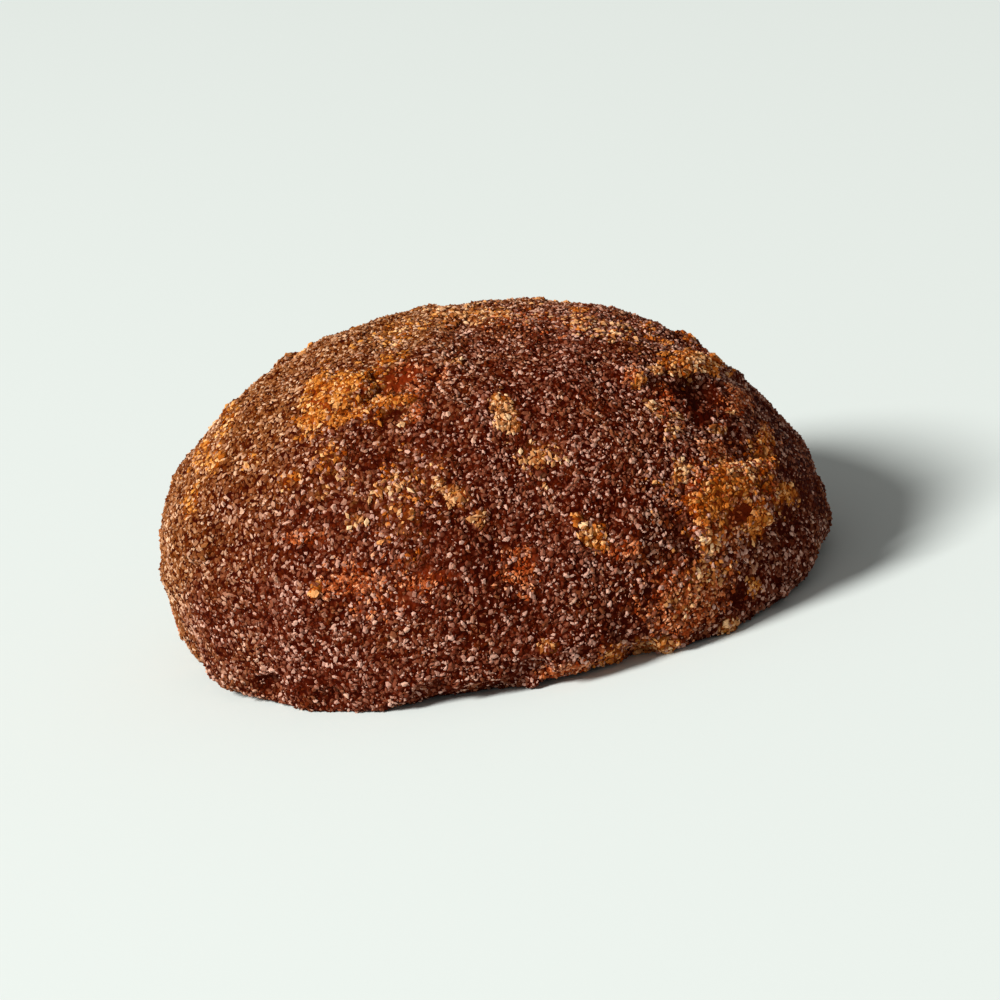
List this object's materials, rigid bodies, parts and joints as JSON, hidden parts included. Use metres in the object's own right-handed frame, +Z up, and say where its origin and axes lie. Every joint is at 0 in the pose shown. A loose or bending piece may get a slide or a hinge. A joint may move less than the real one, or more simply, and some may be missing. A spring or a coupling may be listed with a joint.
{
  "type": "jaggery lump",
  "caption": "Low uneven dome of dark palm jaggery with a grainy crust, thin golden scabs, a crumbly rim and a flat resting face.",
  "frame": {"origin": "middle of the footprint, on the flat face that the lump rests on", "axes": "+X along the lump's longest width, +Y across it towards the back, +Z up through the dome"},
  "size_m": [0.09, 0.084, 0.04],
  "materials": {
    "jaggery": "dark red-brown solid sugar, slightly glossy in the hollows, under a dull crust of fine tan grains with golden scabs"
  },
  "bodies": {
    "root": {"jaggery_lump": "jaggery"}
  },
  "joints": []
}
